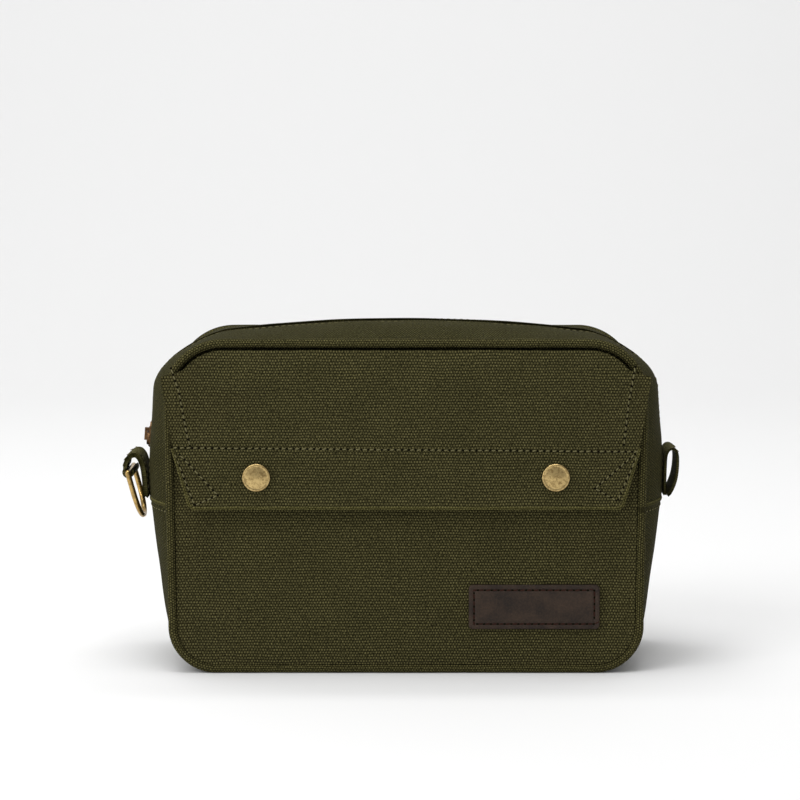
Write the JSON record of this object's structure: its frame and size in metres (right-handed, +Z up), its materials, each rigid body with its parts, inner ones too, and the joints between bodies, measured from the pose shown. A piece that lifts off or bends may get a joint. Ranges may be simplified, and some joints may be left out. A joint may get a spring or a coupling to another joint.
{
  "type": "cable organizer pouch",
  "caption": "Boxy olive canvas zip pouch with a snapped flap pocket, leather label, side tab with a D-ring and a side loop.",
  "frame": {"origin": "centre of the flat underside, where the pouch stands", "axes": "+X to the right of someone facing the flap, +Y to the back, +Z up"},
  "size_m": [0.3037, 0.0954, 0.1865],
  "materials": {
    "canvas": "olive plain-weave duck canvas, matt",
    "tab_canvas": "olive canvas strap, stitched edges",
    "lining": "plain grey-khaki lining cloth",
    "zip_tape": "olive woven herringbone tape",
    "zip_brass": "antique brass, brushed",
    "antique_brass": "antique brass, tumbled",
    "leather": "dark brown full-grain leather, waxed",
    "cotton_cord": "twisted cotton filler cord",
    "elastic": "black ribbed elastic",
    "board": "black polyethylene board"
  },
  "bodies": {
    "body": {"back_panel": "canvas", "back_piping_cover": "canvas", "back_piping_cord": "cotton_cord", "base_gusset": "canvas", "base_board": "board", "front_panel_lower": "canvas", "pocket_panel_lower": "canvas", "front_piping_cover_lower": "canvas", "front_piping_cord_lower": "cotton_cord", "back_zip_gusset": "canvas", "back_zip_tape": "zip_tape", "back_zip_teeth": "zip_brass", "zip_stops": "zip_brass", "back_lining": "lining", "front_lining_lower": "lining", "base_lining": "lining", "back_zip_lining": "lining", "slip_pocket": "lining", "slip_pocket_binding": "elastic", "elastic_cable_band": "elastic", "leather_label": "leather"},
    "front_top": {"front_panel_upper": "canvas", "pocket_panel_upper": "canvas", "front_piping_cover_upper": "canvas", "front_piping_cord_upper": "cotton_cord", "front_zip_gusset": "canvas", "front_zip_tape": "zip_tape", "front_zip_teeth": "zip_brass", "front_lining_upper": "lining", "front_zip_lining": "lining", "snap_studs": "antique_brass", "snap_posts": "antique_brass"},
    "flap": {"flap_shell": "canvas", "flap_hem_facing": "canvas", "snap_caps": "antique_brass", "snap_sockets": "antique_brass"},
    "slider": {"zip_slider": "zip_brass"},
    "pull": {"pull_link": "zip_brass", "leather_pull": "leather"},
    "left_tab": {"left_tab": "tab_canvas"},
    "d_ring": {"d_ring": "antique_brass"},
    "right_tab": {"right_tab": "tab_canvas"}
  },
  "joints": [
    {"name": "mouth_open", "type": "hinge", "parent": "body", "child": "front_top", "pos_m": [0, -0.046, 0.085], "axis": [1, 0, 0], "range_deg": [0, 32]},
    {"name": "flap_lift", "type": "hinge", "parent": "front_top", "child": "flap", "pos_m": [0, -0.04805, 0.1724], "axis": [-1, 0, 0], "range_deg": [0, 160]},
    {"name": "slider_travel", "type": "slide", "parent": "body", "child": "slider", "axis": [0.0706, 0, 0.9975], "range_m": [0, 0.017]},
    {"name": "pull_swing", "type": "hinge", "parent": "slider", "child": "pull", "pos_m": [-0.13953, 0, 0.12091], "axis": [0.9975, 0, -0.0706], "range_deg": [0, 50]},
    {"name": "left_tab_flex", "type": "hinge", "parent": "body", "child": "left_tab", "pos_m": [-0.14204, 0, 0.0908], "axis": [0, -1, 0], "range_deg": [0, 18], "stiffness_Nm_per_rad": 0.01, "springref_deg": -8.59},
    {"name": "d_ring_swing", "type": "hinge", "parent": "left_tab", "child": "d_ring", "pos_m": [-0.15134, 0, 0.104], "axis": [0, 1, 0], "range_deg": [0, 160]},
    {"name": "right_tab_flex", "type": "hinge", "parent": "body", "child": "right_tab", "pos_m": [0.14234, 0, 0.0908], "axis": [0, 1, 0], "range_deg": [0, 80], "stiffness_Nm_per_rad": 0.01, "springref_deg": -8.59}
  ]
}
